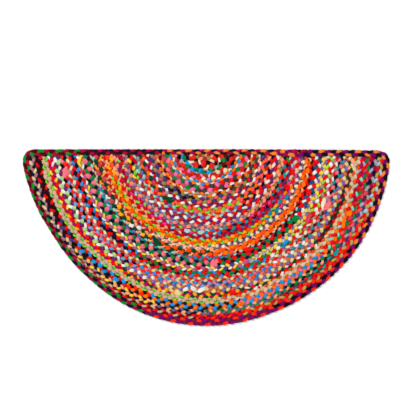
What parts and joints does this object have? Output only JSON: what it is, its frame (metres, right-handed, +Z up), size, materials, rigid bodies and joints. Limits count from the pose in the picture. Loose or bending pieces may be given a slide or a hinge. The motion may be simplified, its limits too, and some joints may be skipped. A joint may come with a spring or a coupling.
{
  "type": "half-round braided rag doormat",
  "caption": "Flat half-round doormat: half rings of three-strand rag plait sewn edge to edge, bound all round with one more plait.",
  "frame": {"origin": "middle of the mat's box, on the surface that it lies on", "axes": "+Z up, +Y towards the straight edge, +X along the straight edge"},
  "size_m": [0.8996, 0.4332, 0.01],
  "materials": {
    "field_rags": "cotton rag plait in many colours, matte",
    "added_rags": "cotton rag plait in reds and tans, matte",
    "binding_rags": "cotton rag plait in purple, crimson and green, matte"
  },
  "bodies": {
    "root": {"braid_field": "field_rags", "added_row_outer": "added_rags", "added_row_inner": "added_rags", "border_braid": "binding_rags"}
  },
  "joints": []
}
